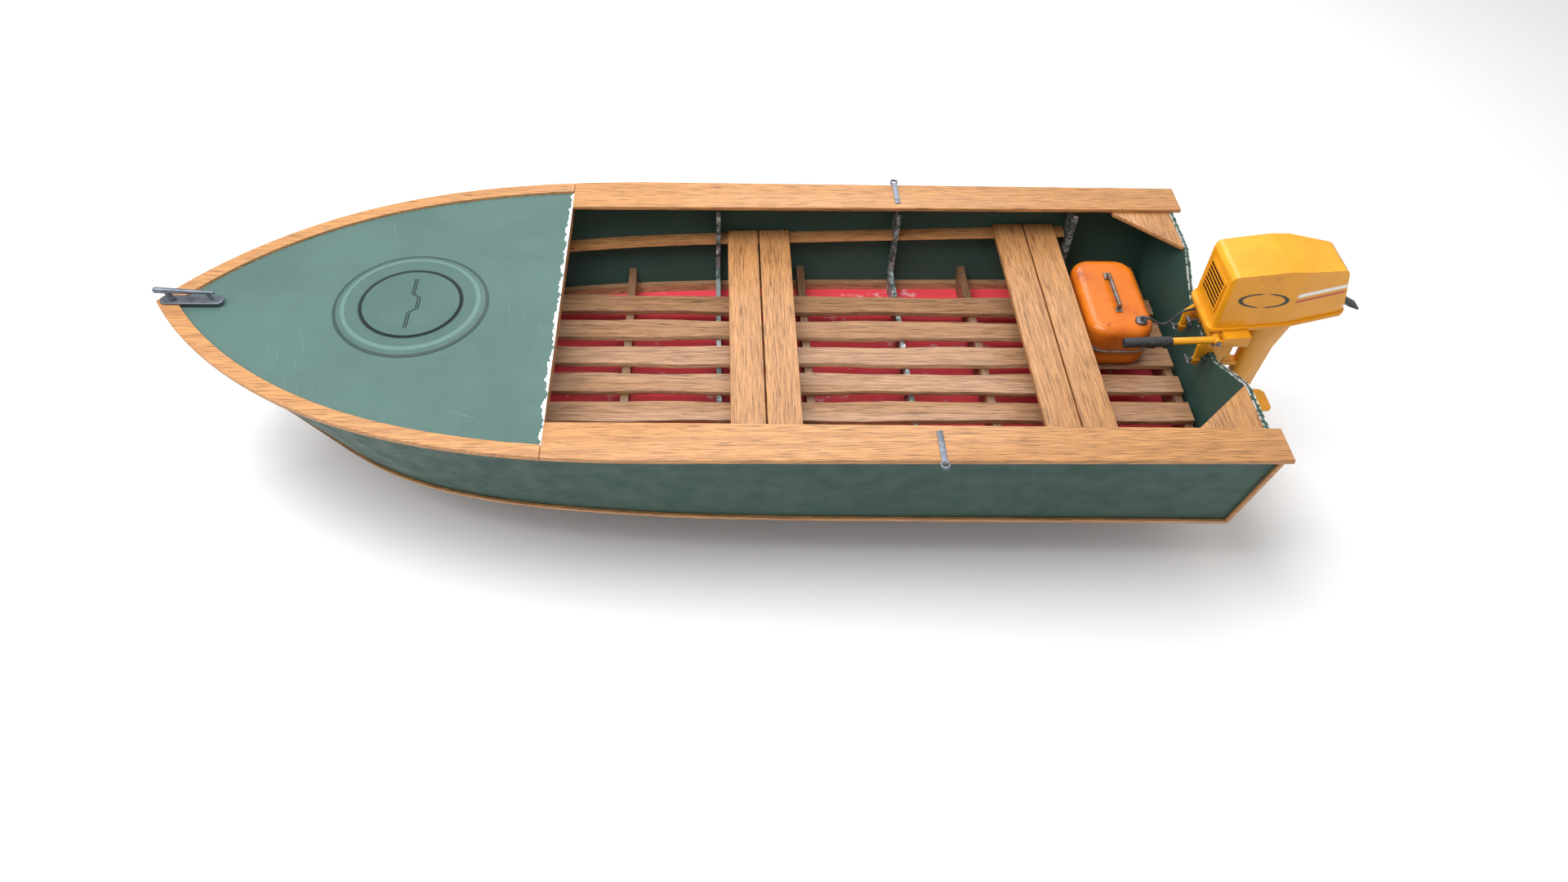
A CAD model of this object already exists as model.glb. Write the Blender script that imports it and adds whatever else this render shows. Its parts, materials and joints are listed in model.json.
"""Looks of the plywood skiff: paint, wood, metal, the fuel hose and the studio."""

import json
from math import cos, pi, radians, sin

import bpy
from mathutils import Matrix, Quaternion, Vector


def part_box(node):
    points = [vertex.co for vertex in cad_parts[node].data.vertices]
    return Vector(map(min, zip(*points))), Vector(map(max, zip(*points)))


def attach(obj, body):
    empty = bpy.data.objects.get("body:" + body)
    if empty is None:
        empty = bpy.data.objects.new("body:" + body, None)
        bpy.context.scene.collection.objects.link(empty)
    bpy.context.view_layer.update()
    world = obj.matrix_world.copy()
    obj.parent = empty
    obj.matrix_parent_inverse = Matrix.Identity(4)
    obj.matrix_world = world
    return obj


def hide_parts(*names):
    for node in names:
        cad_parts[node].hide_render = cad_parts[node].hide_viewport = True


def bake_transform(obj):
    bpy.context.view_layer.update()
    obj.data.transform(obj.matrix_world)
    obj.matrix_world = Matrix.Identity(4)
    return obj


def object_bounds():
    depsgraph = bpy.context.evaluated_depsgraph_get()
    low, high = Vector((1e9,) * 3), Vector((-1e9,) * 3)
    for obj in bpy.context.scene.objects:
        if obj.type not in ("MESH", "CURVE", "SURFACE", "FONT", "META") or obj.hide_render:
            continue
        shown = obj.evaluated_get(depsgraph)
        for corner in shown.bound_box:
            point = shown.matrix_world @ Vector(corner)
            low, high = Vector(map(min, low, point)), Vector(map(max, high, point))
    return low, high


bl_info = {
    "name": "Plywood Skiff",
    "version": (1, 0, 0),
    "blender": (4, 5, 0),
    "location": "View3D > Sidebar > Skiff",
    "description": "Finishes the plywood skiff and sets up its studio",
    "category": "Object",
}

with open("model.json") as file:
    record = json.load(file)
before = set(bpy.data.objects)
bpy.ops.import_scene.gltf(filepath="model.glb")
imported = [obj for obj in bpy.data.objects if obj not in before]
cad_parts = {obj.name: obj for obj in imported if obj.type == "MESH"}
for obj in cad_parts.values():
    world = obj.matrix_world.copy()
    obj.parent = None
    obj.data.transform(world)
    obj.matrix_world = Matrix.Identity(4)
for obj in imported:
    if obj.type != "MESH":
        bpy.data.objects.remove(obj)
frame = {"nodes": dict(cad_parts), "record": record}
CAD_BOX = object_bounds()
NODES = frame["nodes"]
BODY_OF = {
    node: body for body, members in frame["record"]["behaviour"]["bodies"].items() for node in members
}

# ---------------------------------------------------------------- modelling helpers


def pick(obj):
    """Makes one object the only selected one."""
    for other in bpy.context.selected_objects:
        other.select_set(False)
    obj.select_set(True)
    bpy.context.view_layer.objects.active = obj


def shell_of(node, name):
    """A free copy of a frame node's shape, its corners merged and its flat faces joined."""
    source = NODES[node]
    piece = bpy.data.objects.new(name, source.data.copy())
    bpy.context.scene.collection.objects.link(piece)
    piece.data.materials.clear()
    pick(piece)
    bpy.ops.object.mode_set(mode="EDIT")
    bpy.ops.mesh.select_all(action="SELECT")
    bpy.ops.mesh.remove_doubles(threshold=0.00002)
    bpy.ops.mesh.dissolve_limited(angle_limit=radians(1.5))
    bpy.ops.object.mode_set(mode="OBJECT")
    return piece


def apply(piece, modifier):
    """Applies one modifier of a piece."""
    pick(piece)
    bpy.ops.object.modifier_apply(modifier=modifier.name)


def round_edges(piece, width, segments=3, angle=32):
    """Rounds every sharp edge and smooths the shading between them."""
    bevel = piece.modifiers.new("edges", "BEVEL")
    bevel.width = width
    bevel.segments = segments
    bevel.limit_method = "ANGLE"
    bevel.angle_limit = radians(angle)
    bevel.use_clamp_overlap = True
    apply(piece, bevel)
    pick(piece)
    bpy.ops.object.shade_smooth_by_angle(angle=radians(38))


def hand_over(piece, node, material):
    """The piece stands for a frame node, rides on its body and wears a finish."""
    piece.data.materials.clear()
    piece.data.materials.append(material)
    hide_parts(node)
    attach(piece, BODY_OF[node])
    return piece


def softened(node, width, material, segments=3):
    """Replaces a frame node with the same shape, its edges worn round."""
    piece = shell_of(node, node + "_worn")
    round_edges(piece, width, segments)
    return hand_over(piece, node, material)


def wear(node, material):
    """Gives a frame node a finish."""
    slots = NODES[node].data.materials
    slots.clear()
    slots.append(material)


def cut_across(piece, axis, places):
    """Cuts a piece by planes across one axis, so that it can be bent between them."""
    pick(piece)
    normal = [0.0, 0.0, 0.0]
    normal[axis] = 1.0
    for place in places:
        point = [0.0, 0.0, 0.0]
        point[axis] = place
        bpy.ops.object.mode_set(mode="EDIT")
        bpy.ops.mesh.select_all(action="SELECT")
        bpy.ops.mesh.bisect(plane_co=point, plane_no=normal)
        bpy.ops.object.mode_set(mode="OBJECT")


# ---------------------------------------------------------------- finishes


class Finish:
    """One procedural material, built up in layers over object coordinates."""

    def __init__(self, name, roughness=0.5, metallic=0.0, coat=0.0):
        self.material = bpy.data.materials.new(name)
        self.material.use_nodes = True
        self.tree = self.material.node_tree
        self.shader = self.tree.nodes["Principled BSDF"]
        self.shader.inputs["Roughness"].default_value = roughness
        self.shader.inputs["Metallic"].default_value = metallic
        self.shader.inputs["Coat Weight"].default_value = coat
        self.shader.inputs["Coat Roughness"].default_value = 0.12
        self.place = self.node("ShaderNodeTexCoord").outputs["Object"]
        self.colour = None

    def node(self, kind, **values):
        """Adds a node and sets its properties by name."""
        made = self.tree.nodes.new(kind)
        for key, value in values.items():
            setattr(made, key, value)
        return made

    def link(self, output, target):
        """Joins two sockets."""
        self.tree.links.new(output, target)

    def mapped(self, scale, turn=(0, 0, 0)):
        """Object coordinates, turned and then stretched."""
        turned = self.node("ShaderNodeMapping")
        turned.inputs["Rotation"].default_value = [radians(angle) for angle in turn]
        self.link(self.place, turned.inputs["Vector"])
        stretched = self.node("ShaderNodeMapping")
        stretched.inputs["Scale"].default_value = scale
        self.link(turned.outputs["Vector"], stretched.inputs["Vector"])
        return stretched.outputs["Vector"]

    def noise(self, scale, low, high, turn=(0, 0, 0), detail=4.0, rough=0.55):
        """A noise pattern from 0 to 1, its values between low and high spread over that range."""
        pattern = self.node("ShaderNodeTexNoise")
        pattern.inputs["Scale"].default_value = 1.0
        pattern.inputs["Detail"].default_value = detail
        pattern.inputs["Roughness"].default_value = rough
        self.link(self.mapped(scale, turn), pattern.inputs["Vector"])
        return self.spread(pattern.outputs["Fac"], low, high)

    def spread(self, value, low, high):
        """Maps low to 0 and high to 1, and holds the ends."""
        ramp = self.node("ShaderNodeMapRange")
        ramp.inputs["From Min"].default_value = low
        ramp.inputs["From Max"].default_value = high
        self.link(value, ramp.inputs["Value"])
        return ramp.outputs["Result"]

    def maths(self, operation, first, second=None):
        """One arithmetic step on sockets or numbers."""
        step = self.node("ShaderNodeMath", operation=operation)
        for place, value in enumerate((first, second)):
            if value is None:
                continue
            if isinstance(value, (int, float)):
                step.inputs[place].default_value = value
            else:
                self.link(value, step.inputs[place])
        return step.outputs["Value"]

    def edge(self, radius):
        """1 along edges and corners, 0 on flat stretches."""
        rounding = self.node("ShaderNodeBevel", samples=4)
        rounding.inputs["Radius"].default_value = radius
        facing = self.node("ShaderNodeNewGeometry")
        product = self.node("ShaderNodeVectorMath", operation="DOT_PRODUCT")
        self.link(rounding.outputs["Normal"], product.inputs[0])
        self.link(facing.outputs["Normal"], product.inputs[1])
        return self.spread(product.outputs["Value"], 0.995, 0.80)

    def base(self, colour):
        """Starts the colour stack."""
        start = self.node("ShaderNodeRGB")
        start.outputs[0].default_value = (*colour, 1)
        self.colour = start.outputs[0]

    def lay(self, colour, mask, strength=1.0):
        """Lays a colour over the stack where the mask is."""
        mix = self.node("ShaderNodeMix", data_type="RGBA")
        factor = self.maths("MULTIPLY", mask, strength)
        self.link(factor, mix.inputs[0])
        self.link(self.colour, mix.inputs[6])
        mix.inputs[7].default_value = (*colour, 1)
        self.colour = mix.outputs[2]

    def coordinate(self, axis):
        """One object coordinate."""
        split = self.node("ShaderNodeSeparateXYZ")
        self.link(self.place, split.inputs["Vector"])
        return split.outputs[axis]

    def bump(self, height, distance, strength=0.6):
        """Raises the surface by a pattern."""
        made = self.node("ShaderNodeBump")
        made.inputs["Strength"].default_value = strength
        made.inputs["Distance"].default_value = distance
        self.link(height, made.inputs["Height"])
        self.link(made.outputs["Normal"], self.shader.inputs["Normal"])

    def rough(self, mask, low, high):
        """Roughness that follows a pattern."""
        ramp = self.node("ShaderNodeMapRange")
        ramp.inputs["To Min"].default_value = low
        ramp.inputs["To Max"].default_value = high
        self.link(mask, ramp.inputs["Value"])
        self.link(ramp.outputs["Result"], self.shader.inputs["Roughness"])

    def done(self):
        """Joins the colour stack to the shader."""
        self.link(self.colour, self.shader.inputs["Base Color"])
        return self.material


def scaled(colour, factor):
    """A colour made darker or lighter."""
    return tuple(min(1.0, channel * factor) for channel in colour)


def scratches(finish, colour, strength, turns=((0, 0, 18), (0, 0, -37), (0, 0, 74))):
    """Fine straight scratches in a few directions."""
    for number, turn in enumerate(turns):
        lines = finish.noise((3.0 + number, 190.0, 60.0), 0.665, 0.72, turn, detail=2.0)
        patches = finish.noise((2.2 + number, 2.2, 2.2), 0.50, 0.66)
        finish.lay(colour, finish.maths("MULTIPLY", lines, patches), strength)


def painted_plywood(name, colour, chip_mask=None, scuffs=0.35, lines=()):
    """Old satin paint on plywood, with faded patches, scratches and worn edges."""
    finish = Finish(name)
    finish.shader.inputs["Specular IOR Level"].default_value = 0.18
    finish.base(colour)
    finish.lay(scaled(colour, 0.78), finish.noise((2.6, 2.6, 2.6), 0.42, 0.66), 0.5)
    finish.lay(scaled(colour, 1.25), finish.noise((9, 9, 9), 0.54, 0.72, detail=6), 0.2)
    scratches(finish, scaled(colour, 2.2), scuffs)
    finish.lay(scaled(colour, 0.45), finish.noise((60, 60, 60), 0.66, 0.74), 0.35)
    ragged = finish.noise((70, 70, 70), 0.42, 0.60)
    finish.lay(scaled(colour, 2.0), finish.maths("MULTIPLY", finish.edge(0.004), ragged), 0.7)
    for mask, shade in lines:
        finish.lay(shade, mask(finish), 0.9)
    if chip_mask:
        finish.lay((0.86, 0.88, 0.85), chip_mask(finish))
    finish.rough(finish.noise((14, 14, 14), 0.35, 0.7, detail=6), 0.34, 0.62)
    finish.bump(finish.noise((120, 120, 120), 0.3, 0.7), 0.0004, 0.3)
    return finish.done()


def chips_near(axis, edge_place, depth):
    """A mask of flaked paint that eats into a panel from one edge."""

    def mask(finish):
        coordinate = finish.coordinate(axis)
        closeness = finish.spread(coordinate, edge_place - depth, edge_place)
        flakes = finish.noise((34, 34, 34), 0.30, 0.70, detail=5)
        eaten = finish.maths("ADD", closeness, flakes)
        return finish.spread(eaten, 1.12, 1.16)

    return mask


def ring_around(middle_x, inner, outer):
    """A mask of the ring between two radii around a vertical axis on the centreline."""

    def mask(finish):
        x = finish.maths("SUBTRACT", finish.coordinate("X"), middle_x)
        y = finish.coordinate("Y")
        squares = finish.maths("ADD", finish.maths("MULTIPLY", x, x), finish.maths("MULTIPLY", y, y))
        radius = finish.maths("SQRT", squares)
        middle, half = (inner + outer) / 2, (outer - inner) / 2
        away = finish.maths("ABSOLUTE", finish.maths("SUBTRACT", radius, middle))
        return finish.spread(away, half + 0.002, half - 0.001)

    return mask


def lid_grips(middle_x):
    """A mask of the two pressed lines across the hatch lid, stepped aside in the middle."""

    def mask(finish):
        x = finish.maths("SUBTRACT", finish.coordinate("X"), middle_x)
        along = finish.maths("ABSOLUTE", finish.coordinate("Y"))
        step = finish.maths("MULTIPLY", finish.spread(along, 0.045, 0.026), 0.022)
        away = finish.maths("ABSOLUTE", finish.maths("SUBTRACT", x, step))
        line = finish.spread(
            finish.maths("ABSOLUTE", finish.maths("SUBTRACT", away, 0.0038)), 0.0026, 0.0016
        )
        return finish.maths("MULTIPLY", line, finish.spread(along, 0.119, 0.117))

    return mask


def oiled_wood(name, light, dark, along, glow=1.0):
    """Sawn boards with streaky grain along one axis, and darker, dirty edges."""
    fine = [420.0, 420.0, 420.0]
    broad = [55.0, 55.0, 55.0]
    streak = [320.0, 320.0, 320.0]
    fine[along] = 12.0
    broad[along] = 1.6
    streak[along] = 11.0
    finish = Finish(name, coat=0.1)
    finish.base(scaled(light, glow))
    finish.lay(dark, finish.noise(broad, 0.42, 0.75, detail=3), 0.45)
    grain = finish.noise(fine, 0.40, 0.66, detail=5)
    finish.lay(scaled(dark, 0.75), grain, 0.50)
    dashes = finish.noise(streak, 0.54, 0.62, detail=3)
    finish.lay(scaled(dark, 0.4), dashes, 0.66)
    finish.lay(scaled(light, 1.25), finish.noise(streak, 0.42, 0.30, detail=3), 0.30)
    finish.lay(scaled(dark, 0.35), finish.edge(0.0035), 0.55)
    finish.rough(grain, 0.42, 0.66)
    finish.bump(grain, 0.0005, 0.5)
    return finish.done()


def worn_metal(name, colour, patch, roughness=0.42):
    """Dull plated metal with darker blotches and bright rubbed edges."""
    finish = Finish(name, metallic=0.85)
    finish.base(colour)
    finish.lay(patch, finish.noise((26, 26, 26), 0.46, 0.62, detail=6), 0.7)
    finish.lay(scaled(colour, 0.5), finish.noise((140, 140, 140), 0.56, 0.70), 0.5)
    finish.lay(scaled(colour, 1.9), finish.edge(0.0018), 0.6)
    finish.rough(finish.noise((60, 60, 60), 0.35, 0.7), roughness - 0.12, roughness + 0.15)
    finish.bump(finish.noise((180, 180, 180), 0.3, 0.7), 0.0003, 0.35)
    return finish.done()


def chipped_rib(name):
    """Galvanised angle with old dark paint and white chips."""
    finish = Finish(name, metallic=0.35)
    finish.base((0.30, 0.36, 0.36))
    finish.lay((0.05, 0.08, 0.075), finish.noise((22, 22, 30), 0.46, 0.52, detail=7, rough=0.7), 0.9)
    finish.lay((0.78, 0.80, 0.78), finish.noise((38, 38, 46), 0.585, 0.61, detail=7, rough=0.7), 1.0)
    finish.rough(finish.noise((60, 60, 60), 0.35, 0.7), 0.4, 0.7)
    finish.bump(finish.noise((38, 38, 46), 0.56, 0.60, detail=7), 0.0006, 0.5)
    return finish.done()


def enamel(name, colour, shade, stains=0.5, stripes=False):
    """Glossy stove enamel, browned toward edges and stained in places."""
    finish = Finish(name, coat=0.25)
    finish.shader.inputs["Specular IOR Level"].default_value = 0.3
    finish.base(colour)
    finish.lay(shade, finish.noise((9, 9, 9), 0.45, 0.70, detail=5), stains)
    finish.lay(scaled(shade, 0.55), finish.noise((24, 24, 24), 0.62, 0.70, detail=6), stains)
    finish.lay(scaled(colour, 1.25), finish.noise((5, 5, 5), 0.50, 0.35), 0.35)
    if stripes:
        side_stripes(finish)
        dark_louvres(finish)
    finish.lay(scaled(shade, 0.45), finish.edge(0.005), 0.45)
    finish.rough(finish.noise((40, 40, 40), 0.35, 0.7), 0.22, 0.42)
    finish.bump(finish.noise((160, 160, 160), 0.3, 0.7), 0.0002, 0.25)
    return finish.done()


LOUVRE_LOW_Z = 0.462
LOUVRE_PITCH = 0.0155
LOUVRE_COUNT = 7
LOUVRE_HALF = 0.0618
SIDE_Y = 0.056  # the cowl's sides lie further out than this
SWEEP_X, SWEEP_Z = 1.800, 0.525
SWEEP_HALF_X, SWEEP_HALF_Z = 0.082, 0.030
STRIPE_SLOPE = 0.12
STRIPE_FORE_X, STRIPE_AFT_X = 1.905, 2.090
SLAT_PITCH = 0.1356
SLAT_CUTS = 26


def dark_louvres(finish):
    """Soot-black walls in the seven slots of the cowl's front."""
    height = finish.maths("SUBTRACT", finish.coordinate("Z"), LOUVRE_LOW_Z)
    row = finish.maths("DIVIDE", height, LOUVRE_PITCH)
    phase = finish.maths("SUBTRACT", finish.maths("FRACT", finish.maths("ADD", row, 0.5)), 0.5)
    slot = finish.spread(finish.maths("ABSOLUTE", phase), 0.27, 0.25)
    inside = finish.maths(
        "MULTIPLY", finish.spread(row, -0.5, -0.4),
        finish.spread(row, LOUVRE_COUNT - 0.5, LOUVRE_COUNT - 0.6),
    )
    sideways = finish.maths("ABSOLUTE", finish.coordinate("Y"))
    across = finish.spread(sideways, LOUVRE_HALF + 0.0007, LOUVRE_HALF)
    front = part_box("cowl")[0][0]
    near = finish.spread(finish.coordinate("X"), front + 0.075, front + 0.065)
    rows = finish.maths("MULTIPLY", slot, inside)
    panel = finish.maths("MULTIPLY", across, near)
    finish.lay((0.006, 0.006, 0.006), finish.maths("MULTIPLY", rows, panel))


def side_stripes(finish):
    """A dark oval sweep and two slanting stripes, the same on both sides of the cowl."""
    x = finish.coordinate("X")
    z = finish.coordinate("Z")
    side = finish.spread(finish.maths("ABSOLUTE", finish.coordinate("Y")), SIDE_Y, SIDE_Y + 0.002)
    oval_x = finish.maths("DIVIDE", finish.maths("SUBTRACT", x, SWEEP_X), SWEEP_HALF_X)
    oval_z = finish.maths("DIVIDE", finish.maths("SUBTRACT", z, SWEEP_Z), SWEEP_HALF_Z)
    radius = finish.maths(
        "ADD", finish.maths("MULTIPLY", oval_x, oval_x), finish.maths("MULTIPLY", oval_z, oval_z)
    )
    ring = finish.spread(finish.maths("ABSOLUTE", finish.maths("SUBTRACT", radius, 0.9)), 0.20, 0.14)
    gap = finish.spread(finish.maths("ABSOLUTE", oval_x), 0.05, 0.25)
    finish.lay((0.02, 0.02, 0.02), finish.maths("MULTIPLY", finish.maths("MULTIPLY", ring, gap), side))
    slant = finish.maths("SUBTRACT", z, finish.maths("MULTIPLY", x, STRIPE_SLOPE))
    span = finish.maths(
        "MULTIPLY", finish.spread(x, STRIPE_FORE_X, STRIPE_FORE_X + 0.005),
        finish.spread(x, STRIPE_AFT_X, STRIPE_AFT_X - 0.020),
    )
    for middle, half, colour in ((0.316, 0.007, (0.85, 0.84, 0.80)), (0.292, 0.004, (0.45, 0.03, 0.02))):
        away = finish.maths("ABSOLUTE", finish.maths("SUBTRACT", slant, middle))
        band = finish.spread(away, half + 0.0008, half)
        finish.lay(colour, finish.maths("MULTIPLY", finish.maths("MULTIPLY", band, span), side))


def dull_rubber(name, colour):
    """Dark rubber or plastic with dust and scuffs."""
    finish = Finish(name)
    finish.base(colour)
    finish.lay(scaled(colour, 2.6), finish.noise((50, 50, 50), 0.50, 0.70, detail=6), 0.5)
    finish.lay(scaled(colour, 4.0), finish.edge(0.002), 0.35)
    finish.rough(finish.noise((70, 70, 70), 0.35, 0.7), 0.5, 0.75)
    finish.bump(finish.noise((260, 260, 260), 0.3, 0.7), 0.0003, 0.4)
    return finish.done()


# ---------------------------------------------------------------- settings


class SkiffPaint(bpy.types.PropertyGroup):
    """Colours of the hull's paint and wood."""

    deck: bpy.props.FloatVectorProperty(
        name="Deck", description="Foredeck and hatch", subtype="COLOR", default=(0.085, 0.150, 0.135)
    )
    sides: bpy.props.FloatVectorProperty(
        name="Sides", description="Topsides and transom", subtype="COLOR", default=(0.038, 0.080, 0.064)
    )
    bottom: bpy.props.FloatVectorProperty(
        name="Bottom", description="Bottom panel", subtype="COLOR", default=(0.86, 0.075, 0.095)
    )
    wood: bpy.props.FloatVectorProperty(
        name="Wood",
        description="Rails, gunwales and thwarts",
        subtype="COLOR",
        default=(0.60, 0.29, 0.105),
    )
    inner_wood: bpy.props.FloatVectorProperty(
        name="Inner wood",
        description="Floor, risers and battens",
        subtype="COLOR",
        default=(0.50, 0.275, 0.145),
    )
    grain: bpy.props.FloatVectorProperty(
        name="Grain", description="Dark lines of the wood", subtype="COLOR", default=(0.23, 0.095, 0.032)
    )


class SkiffMotor(bpy.types.PropertyGroup):
    """Colours of the motor and the tank, and the hose's route."""

    cowl: bpy.props.FloatVectorProperty(
        name="Motor", description="Motor enamel", subtype="COLOR", default=(0.80, 0.34, 0.012)
    )
    tank: bpy.props.FloatVectorProperty(
        name="Tank", description="Tank enamel", subtype="COLOR", default=(0.62, 0.150, 0.006)
    )
    hose_diameter: bpy.props.FloatProperty(
        name="Hose", description="Outer diameter", unit="LENGTH", default=0.008
    )


class SkiffStudio(bpy.types.PropertyGroup):
    """Floor, light and camera."""

    light: bpy.props.FloatProperty(name="Light", description="Power of the key light", default=235.0)
    sky: bpy.props.FloatProperty(name="Sky", description="Brightness all round", default=0.62)
    lens: bpy.props.FloatProperty(name="Lens", description="Focal length in millimetres", default=25.87)


# ---------------------------------------------------------------- operators


class SKIFF_OT_hull(bpy.types.Operator):
    """Paints the plywood panels and the hatch."""

    bl_idname = "skiff.hull"
    bl_label = "Hull panels"

    def execute(self, context):
        look = context.scene.skiff_paint
        deck_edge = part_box("foredeck")[1][0]
        deck = painted_plywood("deck_paint", look.deck, chips_near("X", deck_edge, 0.020))
        sides = painted_plywood("side_paint", look.sides, scuffs=0.25)
        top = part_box("transom")[1][2]
        stern = painted_plywood("transom_paint", look.sides, transom_chips(top))
        outside = ((underside, look.sides),)
        bottom = painted_plywood("bottom_paint", look.bottom, bottom_scuffs, scuffs=0.5, lines=outside)
        wear("foredeck", deck)
        for node in ("side_panel_starboard", "side_panel_port"):
            wear(node, sides)
        wear("transom", stern)
        wear("bottom_panel", bottom)
        low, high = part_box("hatch_lid")
        middle, lid_radius = (low[0] + high[0]) / 2, (high[0] - low[0]) / 2
        rim_radius = (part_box("hatch_ring")[1][0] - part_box("hatch_ring")[0][0]) / 2
        lines = (
            (ring_around(middle, lid_radius - 0.004, lid_radius + 0.008), scaled(look.deck, 0.10)),
            (ring_around(middle, rim_radius - 0.010, rim_radius + 0.002), scaled(look.deck, 0.40)),
            (ring_around(middle, lid_radius + 0.050, lid_radius + 0.062), scaled(look.deck, 1.40)),
            (lid_grips(middle), scaled(look.deck, 0.10)),
        )
        hatch = painted_plywood("hatch_paint", scaled(look.deck, 0.92), lines=lines)
        softened("hatch_ring", 0.003, hatch)
        wear("hatch_lid", hatch)
        wear("hatch_seal", dull_rubber("seal_rubber", (0.02, 0.02, 0.022)))
        return {"FINISHED"}


def transom_chips(top):
    """A mask of bare patches along the transom's upper edges."""

    def mask(finish):
        rim = finish.edge(0.012)
        flakes = finish.noise((60, 60, 60), 0.40, 0.62, detail=6)
        high = finish.spread(finish.coordinate("Z"), top - 0.16, top - 0.05)
        return finish.spread(
            finish.maths("MULTIPLY", finish.maths("MULTIPLY", rim, flakes), high), 0.25, 0.32
        )

    return mask


def underside(finish):
    """A mask of the faces that look down."""
    facing = finish.node("ShaderNodeNewGeometry")
    split = finish.node("ShaderNodeSeparateXYZ")
    finish.link(facing.outputs["True Normal"], split.inputs["Vector"])
    return finish.spread(split.outputs["Z"], 0.1, -0.1)


def bottom_scuffs(finish):
    """A mask of pale rubbed patches."""
    patches = finish.noise((7, 11, 7), 0.58, 0.66, detail=7, rough=0.7)
    return finish.maths("MULTIPLY", patches, 0.45)


class SKIFF_OT_wood(bpy.types.Operator):
    """Shapes and finishes the rails, gunwales, thwarts, floor and battens."""

    bl_idname = "skiff.wood"
    bl_label = "Wood"

    def execute(self, context):
        look = context.scene.skiff_paint
        lengthways = oiled_wood("rail_wood", look.wood, look.grain, 0)
        crossways = oiled_wood("thwart_wood", look.wood, look.grain, 1, glow=0.92)
        floor = oiled_wood("floor_wood", look.inner_wood, scaled(look.grain, 0.7), 0)
        beams = oiled_wood("beam_wood", scaled(look.wood, 0.8), look.grain, 1)
        for node in ("gunwale_starboard", "gunwale_port", "bow_rail_starboard", "bow_rail_port"):
            softened(node, 0.003, lengthways)
        for node in ("front_thwart", "rear_thwart"):
            softened(node, 0.0025, crossways, segments=2)
        softened("stern_knees", 0.002, crossways)
        softened("edge_strips", 0.002, lengthways)
        wear("deck_beam", beams)
        frame_light, frame_dark = scaled(look.inner_wood, 0.5), scaled(look.grain, 0.5)
        wear("floor_frames", oiled_wood("frame_wood", frame_light, frame_dark, 1))
        for node in ("stem_post", "hull_battens", "seat_risers"):
            wear(node, lengthways if node == "seat_risers" else floor)
        self.floor_boards(floor)
        return {"FINISHED"}

    def floor_boards(self, material):
        """Slats with slightly uneven sawn edges."""
        slats = shell_of("floor_slats", "floor_slats_sawn")
        low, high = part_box("floor_slats")
        step = (high[0] - low[0]) / SLAT_CUTS
        places = [low[0] + step * cut for cut in range(1, SLAT_CUTS)]
        cut_across(slats, 0, places)
        for vertex in slats.data.vertices:
            x, y, z = vertex.co
            board = round(y / SLAT_PITCH - 0.5)
            side = 1 if y / SLAT_PITCH - 0.5 > board else -1
            wave = sin(7.3 * x + 2.1 * board + side) + 0.6 * sin(17.0 * x - 1.7 * board * side)
            vertex.co.y = y + 0.0035 * wave - 0.005 * side
        round_edges(slats, 0.0025, segments=2)
        hand_over(slats, "floor_slats", material)


class SKIFF_OT_fittings(bpy.types.Operator):
    """Finishes the metal fittings and the ribs."""

    bl_idname = "skiff.fittings"
    bl_label = "Metal fittings"

    def execute(self, context):
        steel = worn_metal("fitting_steel", (0.19, 0.21, 0.25), (0.10, 0.115, 0.14))
        for node in ("bow_handle_plate", "bow_handle_bar", "oarlock_sockets"):
            softened(node, 0.0012, steel, segments=2)
        wear("metal_ribs", chipped_rib("rib_paint"))
        bolts = worn_metal("bolt_steel", (0.22, 0.25, 0.29), (0.10, 0.12, 0.14))
        for node in (
            "clamp_screw_starboard",
            "clamp_screw_port",
            "clamp_pad_starboard",
            "clamp_pad_port",
            "tilt_bolt",
            "tiller_bolt",
            "friction_wing_screw",
            "prop_nut",
            "hose_connector",
        ):
            softened(node, 0.0008, bolts, segments=2)
        return {"FINISHED"}


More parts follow.
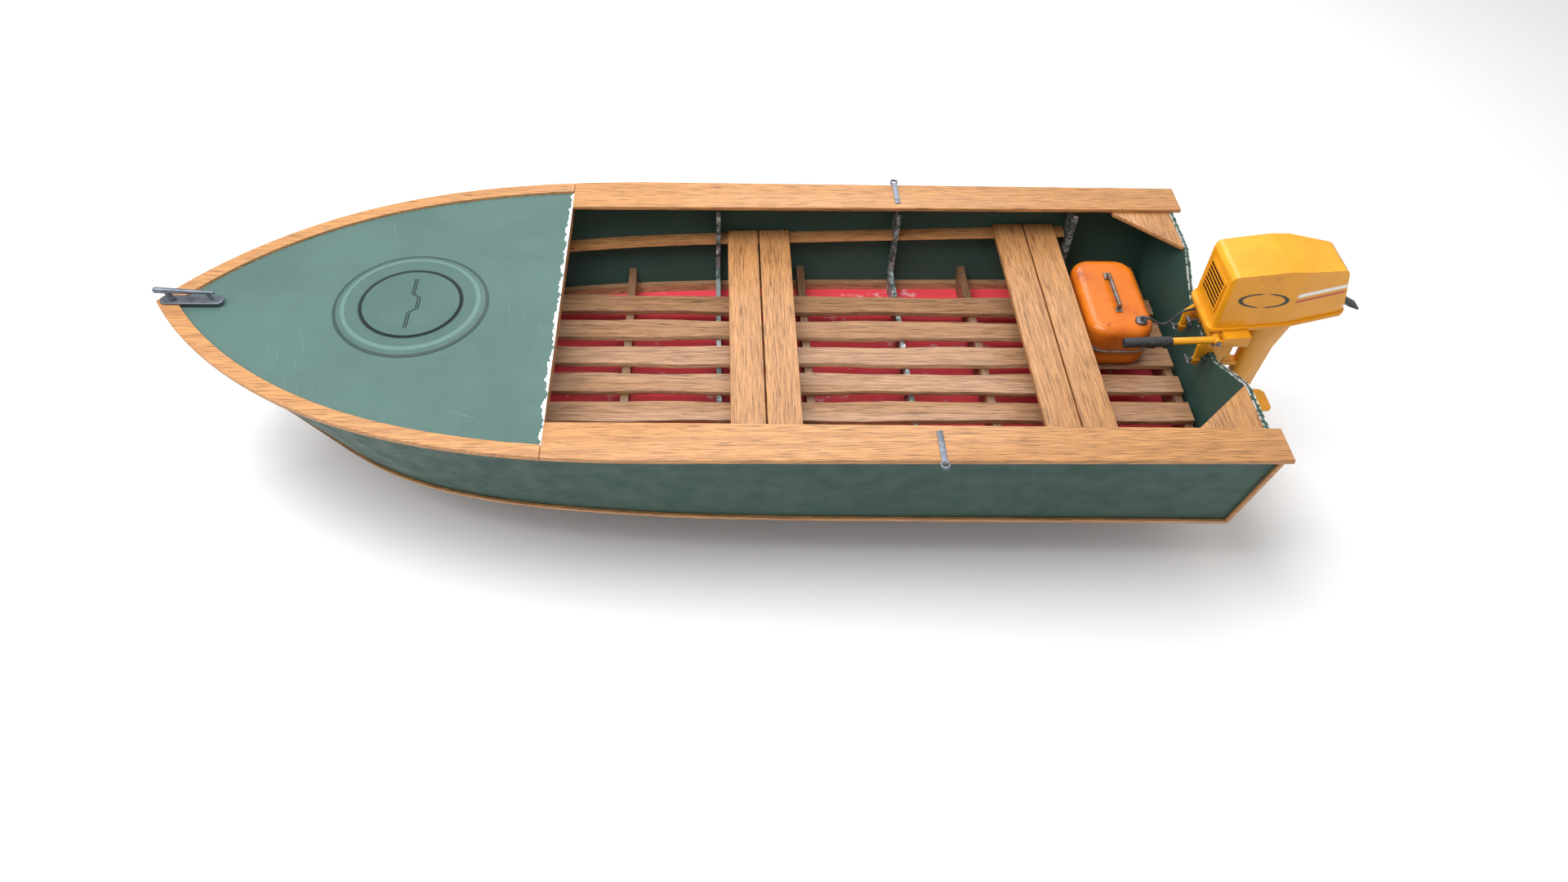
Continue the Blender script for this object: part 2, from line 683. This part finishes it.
class SKIFF_OT_tank(bpy.types.Operator):
    """Shapes and finishes the fuel tank and lays the hose."""

    bl_idname = "skiff.tank"
    bl_label = "Fuel tank and hose"

    def execute(self, context):
        look = context.scene.skiff_motor
        tank = enamel("tank_enamel", look.tank, (0.42, 0.07, 0.008), stains=0.6)
        for node in ("tank_upper_shell", "tank_lower_shell"):
            softened(node, 0.002, tank, segments=2)
        seam = worn_metal("seam_metal", (0.36, 0.33, 0.30), (0.20, 0.17, 0.14))
        softened("tank_seam_belt", 0.001, seam)
        handle = worn_metal("handle_metal", (0.24, 0.22, 0.20), (0.14, 0.10, 0.07))
        softened("tank_handle", 0.002, handle)
        fitting = worn_metal("fitting_metal", (0.17, 0.17, 0.18), (0.07, 0.06, 0.06))
        softened("tank_fuel_fitting", 0.0012, fitting)
        self.hose(look.hose_diameter)
        return {"FINISHED"}

    def hose(self, diameter):
        """One soft hose from the tank's elbow to the motor's head."""
        route = [
            (1.526, 0.061, 0.301),
            (1.545, 0.054, 0.299),
            (1.557, 0.049, 0.292),
            (1.570, 0.046, 0.2885),
            (1.584, 0.045, 0.291),
            (1.597, 0.045, 0.3015),
            (1.608, 0.046, 0.318),
            (1.622, 0.048, 0.338),
            (1.640, 0.051, 0.347),
            (1.658, 0.054, 0.350),
            (1.672, 0.055, 0.351),
        ]
        curve = bpy.data.curves.new("hose_line", "CURVE")
        curve.dimensions = "3D"
        spline = curve.splines.new("NURBS")
        spline.points.add(len(route) - 1)
        for point, place in zip(spline.points, route):
            point.co = (*place, 1.0)
        spline.order_u = 3
        spline.use_endpoint_u = True
        spline.resolution_u = 8
        line = bpy.data.objects.new("hose_line", curve)
        bpy.context.scene.collection.objects.link(line)
        bare = bpy.data.meshes.new_from_object(line)
        bpy.data.meshes.remove(bare)
        curve.bevel_depth = diameter / 2
        curve.bevel_resolution = 5
        curve.use_fill_caps = True
        pick(line)
        bpy.ops.object.convert(target="MESH")
        piece = bpy.context.view_layer.objects.active
        piece.name = "fuel_hose_bent"
        bpy.ops.object.shade_smooth_by_angle(angle=radians(40))
        piece.data.materials.clear()
        piece.data.materials.append(dull_rubber("hose_rubber", (0.030, 0.032, 0.036)))
        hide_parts("fuel_hose")
        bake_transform(piece)


class SKIFF_OT_motor(bpy.types.Operator):
    """Shapes and finishes the outboard motor."""

    bl_idname = "skiff.motor"
    bl_label = "Outboard motor"

    def execute(self, context):
        look = context.scene.skiff_motor
        shade = (0.50, 0.17, 0.010)
        cowl = enamel("cowl_enamel", look.cowl, shade, stains=0.25, stripes=True)
        casting = enamel("motor_enamel", scaled(look.cowl, 0.92), shade, stains=0.35)
        wear("cowl", cowl)
        for node in (
            "cowl_tray",
            "motor_leg", "gearcase",
            "steering_spindle",
            "swivel_bracket",
            "propeller",
        ):
            wear(node, casting)
        for node in ("clamp_bracket_starboard", "clamp_bracket_port", "tiller_bracket", "tiller_arm"):
            softened(node, 0.0015, casting, segments=2)
        softened("cowl_latch", 0.0015, dull_rubber("latch_plastic", (0.022, 0.023, 0.026)))
        softened("throttle_grip", 0.001, self.ribbed_rubber(), segments=2)
        cast = worn_metal("cast_metal", (0.36, 0.36, 0.37), (0.20, 0.19, 0.18), roughness=0.55)
        for node in ("powerhead", "carburettor", "flywheel", "spark_plug"):
            wear(node, cast)
        shaft = worn_metal("shaft_steel", (0.55, 0.56, 0.58), (0.35, 0.34, 0.33), roughness=0.3)
        for node in ("drive_shaft", "prop_shaft"):
            wear(node, shaft)
        return {"FINISHED"}

    def ribbed_rubber(self):
        """Grip rubber with fine moulded rings."""
        finish = Finish("grip_rubber")
        finish.base((0.030, 0.031, 0.034))
        rings = finish.maths("SINE", finish.maths("MULTIPLY", finish.coordinate("X"), 2 * pi / 0.006))
        finish.lay((0.008, 0.008, 0.009), finish.spread(rings, 0.1, 0.8), 0.7)
        finish.lay((0.12, 0.12, 0.12), finish.noise((60, 60, 60), 0.58, 0.74, detail=6), 0.5)
        finish.rough(finish.noise((70, 70, 70), 0.35, 0.7), 0.5, 0.75)
        finish.bump(rings, 0.0006, 0.7)
        return finish.done()


class SKIFF_OT_studio(bpy.types.Operator):
    """Sets up the floor, the lights and the camera."""

    bl_idname = "skiff.studio"
    bl_label = "Studio"

    def execute(self, context):
        look = context.scene.skiff_studio
        self.floor()
        self.lights(look)
        self.camera(look)
        return {"FINISHED"}

    def floor(self):
        """A wide pale floor under the lowest point."""
        bpy.ops.mesh.primitive_plane_add(size=60, location=(0, 0, CAD_BOX[0][2] - 0.002))
        floor = bpy.context.object
        floor.name = "studio_floor"
        finish = Finish("floor_paper", roughness=0.95)
        finish.base((0.93, 0.93, 0.93))
        finish.lay((0.90, 0.90, 0.90), finish.noise((0.4, 0.4, 0.4), 0.3, 0.7), 0.4)
        floor.data.materials.append(finish.done())

    def lights(self, look):
        """A broad key overhead, softer lamps past the bow and behind, and an even sky."""
        world = bpy.data.worlds.new("studio_sky")
        bpy.context.scene.world = world
        world.use_nodes = True
        background = world.node_tree.nodes["Background"]
        background.inputs["Color"].default_value = (1, 1, 1, 1)
        background.inputs["Strength"].default_value = look.sky
        for name, place, size, share in (
            ("key", (-1.2, -0.5, 4.8), 3.4, 1.0),
            ("bow", (-4.2, -0.8, 3.2), 2.5, 0.20),
            ("back", (0.8, 3.2, 4.2), 3.5, 0.55),
        ):
            bpy.ops.object.light_add(type="AREA", location=place)
            lamp = bpy.context.object
            lamp.name = name
            lamp.data.size = size
            lamp.data.energy = look.light * share
            aim = Vector((0.1, 0, 0.2)) - Vector(place)
            lamp.rotation_euler = aim.to_track_quat("-Z", "Y").to_euler()

    def camera(self, look):
        """Looks down on the boat from port, a little turned and rolled."""
        pitch, yaw, roll = radians(48.06), radians(5.53), radians(4.09)
        aim = Vector((sin(yaw) * cos(pitch), cos(yaw) * cos(pitch), -sin(pitch)))
        bpy.ops.object.camera_add(location=(0.0123, -2.8012, 2.8647))
        camera = bpy.context.object
        camera.rotation_mode = "QUATERNION"
        camera.rotation_quaternion = aim.to_track_quat("-Z", "Y") @ Quaternion((0, 0, 1), roll)
        camera.data.lens = look.lens
        camera.data.sensor_width = 36
        camera.data.clip_end = 200
        bpy.context.scene.camera = camera
        bpy.context.scene.view_settings.view_transform = "Standard"


class SKIFF_PT_panel(bpy.types.Panel):
    """Lists the skiff's settings and steps."""

    bl_idname = "SKIFF_PT_panel"
    bl_label = "Skiff"
    bl_space_type = "VIEW_3D"
    bl_region_type = "UI"
    bl_category = "Skiff"

    def draw(self, context):
        scene = context.scene
        for group in (scene.skiff_paint, scene.skiff_motor, scene.skiff_studio):
            for name in group.bl_rna.properties.keys():
                if name not in ("rna_type", "name"):
                    self.layout.prop(group, name)
        for step in STEPS:
            self.layout.operator(step.bl_idname)


STEPS = (
    SKIFF_OT_hull,
    SKIFF_OT_wood,
    SKIFF_OT_fittings,
    SKIFF_OT_tank,
    SKIFF_OT_motor,
    SKIFF_OT_studio,
)
GROUPS = (
    ("skiff_paint", SkiffPaint),
    ("skiff_motor", SkiffMotor),
    ("skiff_studio", SkiffStudio),
)


def register():
    """Registers the settings, the steps and the panel."""
    for name, group in GROUPS:
        bpy.utils.register_class(group)
        setattr(bpy.types.Scene, name, bpy.props.PointerProperty(type=group))
    for step in STEPS:
        bpy.utils.register_class(step)
    bpy.utils.register_class(SKIFF_PT_panel)


def unregister():
    """Removes what register added."""
    bpy.utils.unregister_class(SKIFF_PT_panel)
    for step in reversed(STEPS):
        bpy.utils.unregister_class(step)
    for name, group in reversed(GROUPS):
        delattr(bpy.types.Scene, name)
        bpy.utils.unregister_class(group)


def main():
    """Runs every step in order."""
    register()
    bpy.ops.skiff.hull()
    bpy.ops.skiff.wood()
    bpy.ops.skiff.fittings()
    bpy.ops.skiff.tank()
    bpy.ops.skiff.motor()
    bpy.ops.skiff.studio()


if __name__ == "__main__":
    main()
